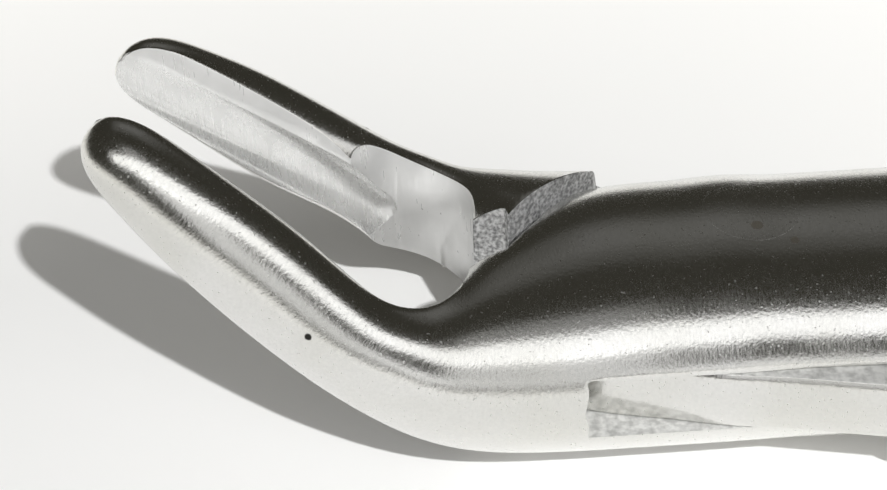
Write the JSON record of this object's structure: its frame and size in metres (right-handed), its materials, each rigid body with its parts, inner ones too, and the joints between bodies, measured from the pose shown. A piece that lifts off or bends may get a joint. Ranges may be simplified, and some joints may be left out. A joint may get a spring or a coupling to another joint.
{
  "type": "dental extraction forceps",
  "caption": "Polished steel extraction forceps with a riveted box joint, hollow-ground angled beaks and bowed serrated grips.",
  "frame": {"origin": "point on the hinge axis, at the flat that is ground along the joint's underside", "axes": "+X from the hinge toward the handle ends, +Z along the hinge axis, up from the surface that it lies on; the slotted half's beak is at -Y"},
  "size_m": [0.1734, 0.0548, 0.0172],
  "materials": {
    "steel": "satin polish with fine grain",
    "rivet_steel": "satin, dressed flush"
  },
  "bodies": {
    "slotted_half": {"female_half": "steel", "hinge_pin": "rivet_steel"},
    "tongue_half": {"male_half": "steel"}
  },
  "joints": [
    {"name": "box_hinge", "type": "hinge", "parent": "slotted_half", "child": "tongue_half", "pos_m": [0, 0, 0], "axis": [0, 0, 1], "range_deg": [-20, 10]}
  ]
}
